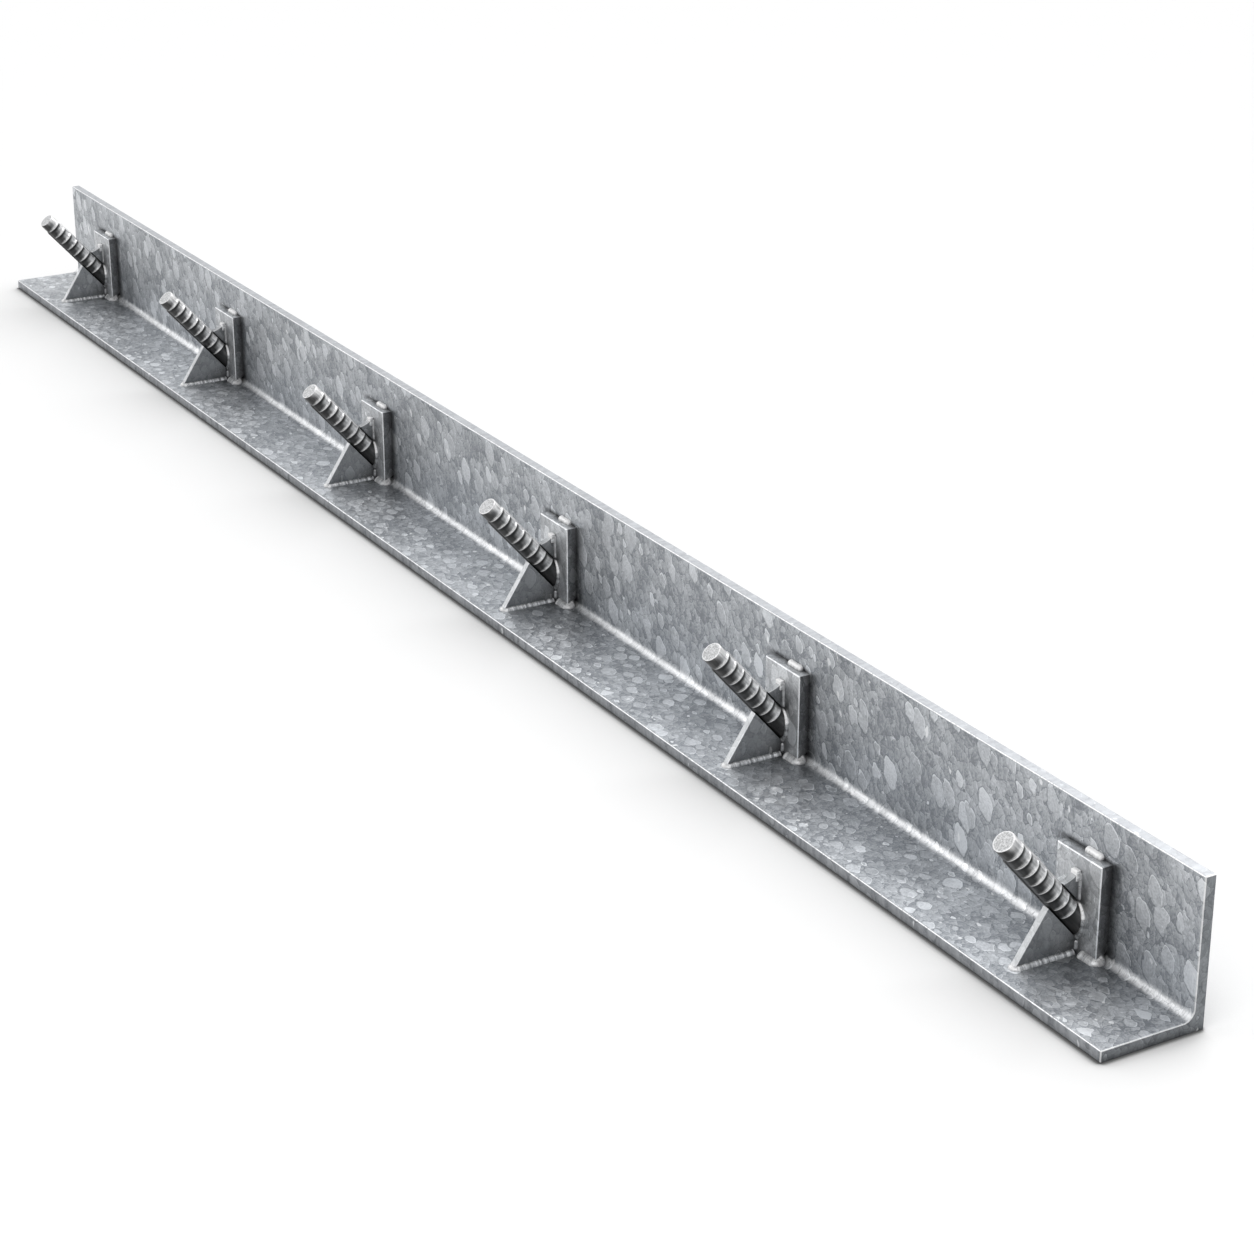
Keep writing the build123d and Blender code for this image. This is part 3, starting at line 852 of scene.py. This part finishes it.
def weld_together(name, *beads):
    """Join the beads of one weld into one piece."""
    bpy.ops.object.select_all(action="DESELECT")
    for bead in beads:
        bead.select_set(True)
    bpy.context.view_layer.objects.active = beads[0]
    bpy.ops.object.join()
    beads[0].name = name
    return beads[0]


def sunk(leg, depth):
    """Radius of a bead whose centre is sunk by depth into both faces and which still reaches leg along each."""
    return hypot(leg + depth, depth)


def make_foot_weld():
    """Two beads, each from beside the gusset round the plate's corner and up onto the root."""
    depth = 1.1 * mm
    front = plate_front + depth
    low = leg_top - depth
    beads = []
    for way in (-1, 1):
        start = Vector((way * (gusset_half + 3.5 * mm), front, low))
        corner = Vector((way * (plate_half - depth), front, low))
        back = Vector((corner.x, plate_front + 6.5 * mm, low + 2.6 * mm))
        # Painted glints at the bead's start, corner and back end
        glints = (
            start + Vector((way * -1.5 * mm, -3.3 * mm, 3.3 * mm)),
            start + Vector((way * -0.5 * mm, -4.4 * mm, 1.8 * mm)),
            corner + Vector((way * 3.2 * mm, -3.8 * mm, 1.6 * mm)),
            back + Vector((way * 3 * mm, 3 * mm, 3 * mm)),
        )
        route = centre_line([start, corner, back], turn=0.8 * mm)
        bead = lay_bead(
            "foot_weld", route, sunk(foot_leg, depth), material=foot_zinc, glints=glints, reach=2.1 * mm,
            pitch=4 * mm,
        )
        # Painted shade on the part of each bead beyond the plate's side
        out = [abs(vertex.co.x) for vertex in bead.data.vertices]
        mark(bead, "shaded", [between(x, plate_half, plate_half + 1.5 * mm) for x in out])
        beads.append(bead)
    return weld_together("foot_weld", *beads)


def make_top_weld():
    """A short bead on the plate's top edge, with a painted highlight all along its front."""
    start = Vector((top_start, leg_face - 0.5 * mm, plate_top + 0.5 * mm))
    end = Vector((top_end, start.y, start.z))
    glints = [start.lerp(end, number / 12) + Vector((0, -1.2 * mm, 2.6 * mm)) for number in range(13)]
    route = centre_line([start, end])
    return lay_bead("top_weld", route, top_girth, glints=glints, reach=4 * mm, pitch=16 * mm)


def make_seams(low, high):
    """Thin dull beads up both sides of the seam between a gusset and the plate."""
    depth = 0.8 * mm
    seams = []
    for way in (-1, 1):
        foot = Vector((way * (gusset_half - depth), plate_front + depth, low))
        head = Vector((foot.x, foot.y, high))
        route = centre_line([foot, head])
        seams.append(lay_bead("seam", route, sunk(seam_leg, depth), "Y", material=seam_zinc, pitch=12 * mm))
    return seams


def make_base_weld():
    """A bead along one side of the gusset's base, round its toe and back, and a thin one up each side of its
    seam."""
    depth = 0.7 * mm
    side = gusset_half - depth
    start = plate_front - 1 * mm
    toe = gusset_toe + depth
    plan = ((-side, start), (-side, toe), (side, toe), (side, start))
    corners = [Vector((x, y, leg_top - depth)) for x, y in plan]
    # Painted glints along the toe
    toe_glints = [Vector((x * mm, gusset_toe - 2 * mm, leg_top + 1.5 * mm)) for x in (-3, 0, 3)]
    base = lay_bead("base_weld", centre_line(corners, turn=1.5 * mm), sunk(base_leg, depth), glints=toe_glints)
    return weld_together("base_weld", base, *make_seams(leg_top + 1 * mm, bar_foot.z - seam_clearance))


def make_ring_weld():
    """A closed bead round the bar where it meets the plate, with a painted glint on each upper side."""
    wide = bar_radius - 0.1 * mm
    tall = bar_radius / cos(bar_tilt) - 0.1 * mm
    route = []
    for number in range(ring_steps + 1):
        around = -pi / 2 + 2 * pi * number / ring_steps
        route.append(Vector((wide * cos(around), plate_front + 0.2 * mm, bar_foot.z + tall * sin(around))))
    outside = 1.5 * mm
    glints = []
    for way in (-1, 1):
        for around in (22, 34, 46, 58):
            x = way * (wide + outside) * cos(radians(around))
            glints.append(bar_foot + Vector((x, -1 * mm, (tall + outside) * sin(radians(around)))))
    return lay_bead("ring_weld", route, ring_leg, "Y", material=ring_zinc, glints=glints, closed=True)


def make_tack():
    """A wedge of weld over the upper gusset's tip, sloping down and out from the plate."""
    bpy.ops.object.select_all(action="DESELECT")
    bpy.ops.mesh.primitive_cube_add(size=1, location=(0, plate_front - tack_reach / 2, brace_tip))
    tack = bpy.context.active_object
    tack.name = "tack"
    tack.scale = (2 * tack_half, tack_reach, 2 * tack_reach)
    bpy.ops.object.transform_apply(location=True, rotation=True, scale=True)
    for vertex in tack.data.vertices:
        vertex.select = vertex.co.y < plate_front - tack_reach / 2 and vertex.co.z > brace_tip
    bpy.ops.object.mode_set(mode="EDIT")
    bpy.ops.mesh.select_mode(type="VERT")
    bpy.ops.transform.translate(value=(0, 0, -tack_reach))
    bpy.ops.mesh.select_all(action="SELECT")
    bpy.ops.mesh.bevel(offset=0.7 * mm, segments=3, affect="EDGES")
    bpy.ops.object.mode_set(mode="OBJECT")
    mark(tack, "run", [vertex.co.z for vertex in tack.data.vertices])
    mark(tack, "valley", [0.0] * len(tack.data.vertices))
    # Painted highlight on the tack's top and front, its sides left darker
    mark(tack, "shine", [1.0 if abs(v.co.x) < tack_half - 0.3 * mm else 0.2 for v in tack.data.vertices])
    tack.data.materials.append(bead_zinc)
    finish_mesh(tack, bead_smooth_angle)
    return tack


def make_tip_weld():
    """The tack on the upper gusset's tip, and the thin beads up both sides of its seam."""
    return weld_together("tip_weld", make_tack(), *make_seams(bar_foot.z + seam_clearance, brace_tip - 1 * mm))


dress_angle()
set_at_stations(make_bar(), "anchor_bar")
set_at_stations(make_foot_weld(), "plate_foot_weld")
set_at_stations(make_top_weld(), "plate_top_weld")
set_at_stations(make_base_weld(), "lower_gusset_weld")
set_at_stations(make_ring_weld(), "bar_ring_weld")
set_at_stations(make_tip_weld(), "upper_gusset_weld")

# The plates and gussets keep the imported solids
flat_pieces = (("backing_plate", plate_zinc), ("lower_gusset", gusset_zinc), ("upper_gusset", gusset_zinc))
for station in stations:
    for name, material in flat_pieces:
        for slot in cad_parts[f"{name}_{station}"].material_slots:
            slot.material = material


# Floor, light and camera

floor_size = 60
floor_drop = 0.3 * mm

# How pale the floor is in the open, in the painted shade round the part and in the painted shadow right under its
# edges, and its glow
floor_open = 0.76
floor_painted_shade = 0.36
floor_painted_contact = 0.1
floor_glow = 0.085

# The studio's strength as it lights the scene and as it is seen
studio_light = 0.46
studio_seen = 1.0

# Each lamp's name, the direction that its light comes from, its strength and its width in degrees
lamps = (
    ("back_light", (-0.2, 0.55, 0.8), 2.6, 60),
    ("side_light", (-0.74, -0.45, 0.5), 0.45, 36),
)
near_light_place = Vector((1.5, -1.2, 1.1))
near_light_target = Vector((0.8, 0, 0))
near_light_size = 1.0
near_light_power = 6

# Where the camera stands, how far it looks down and round in degrees, and its lens in millimetres
camera_place = (1.989413, -0.977271, 0.858045)
camera_dip = 22.741
camera_heading = 59.826
camera_lens = 83.863


def seen_directly(tree):
    """1 where the camera, a reflection or clear glass looks at the surface, and 0 for the light it throws."""
    path = put(tree, "ShaderNodeLightPath").outputs
    seen = sums(tree, "ADD", path["Is Camera Ray"], path["Is Glossy Ray"])
    return sums(tree, "ADD", seen, path["Is Transmission Ray"], clamp=True)


def make_floor():
    bpy.ops.object.select_all(action="DESELECT")
    bpy.ops.mesh.primitive_plane_add(size=floor_size, location=(0, 0, -floor_drop))
    floor = bpy.context.active_object
    floor.name = "floor"
    material = bpy.data.materials.new("pale_floor")
    material.use_nodes = True
    t = material.node_tree
    t.nodes.remove(t.nodes["Principled BSDF"])
    # Painted shadow on the floor, darker near the part and darkest right under its edges
    near = put(t, "ShaderNodeAmbientOcclusion", {"Distance": 75 * mm}, samples=corner_samples).outputs["AO"]
    touching = put(t, "ShaderNodeAmbientOcclusion", {"Distance": 4 * mm}, samples=corner_samples).outputs["AO"]
    soft_shade = ramp(t, near, 0.3, 1.0, floor_painted_shade, floor_open)
    shade = sums(t, "MULTIPLY", soft_shade, ramp(t, touching, 0.55, 0.95, floor_painted_contact, 1.0))
    contact = put(t, "ShaderNodeCombineColor", {key: shade for key in ("Red", "Green", "Blue")})
    matt = put(t, "ShaderNodeBsdfDiffuse", {"Color": contact.outputs[0]})
    seen_glow = sums(t, "MULTIPLY", seen_directly(t), floor_glow)
    glow = put(t, "ShaderNodeEmission", {"Color": white, "Strength": seen_glow})
    both = put(t, "ShaderNodeAddShader", {0: matt.outputs[0], 1: glow.outputs[0]})
    t.links.new(both.outputs[0], t.nodes["Material Output"].inputs["Surface"])
    floor.data.materials.append(material)


def light_scene():
    world = bpy.data.worlds.new("studio")
    bpy.context.scene.world = world
    world.use_nodes = True
    t = world.node_tree
    sky = t.nodes["Background"]
    t.links.new(ramp(t, seen_directly(t), 0.0, 1.0, studio_light, studio_seen), sky.inputs["Strength"])
    sky.inputs["Color"].default_value = white
    for name, toward, power, spread in lamps:
        bpy.ops.object.light_add(type="SUN", rotation=Vector(toward).to_track_quat("Z", "Y").to_euler())
        lamp = bpy.context.active_object
        lamp.name = name
        lamp.data.energy = power
        lamp.data.angle = radians(spread)
    aim = (near_light_place - near_light_target).to_track_quat("Z", "Y").to_euler()
    bpy.ops.object.light_add(type="AREA", location=near_light_place, rotation=aim)
    lamp = bpy.context.active_object
    lamp.name = "near_light"
    lamp.data.size = near_light_size
    lamp.data.energy = near_light_power


def set_camera():
    turn = (radians(90 - camera_dip), 0, radians(camera_heading))
    bpy.ops.object.camera_add(location=camera_place, rotation=turn)
    camera = bpy.context.active_object
    camera.name = "photo_camera"
    camera.data.lens = camera_lens
    camera.data.sensor_width = 36
    camera.data.clip_end = 100
    bpy.context.scene.camera = camera


make_floor()
light_scene()
set_camera()
bpy.context.scene.view_settings.view_transform = "Standard"
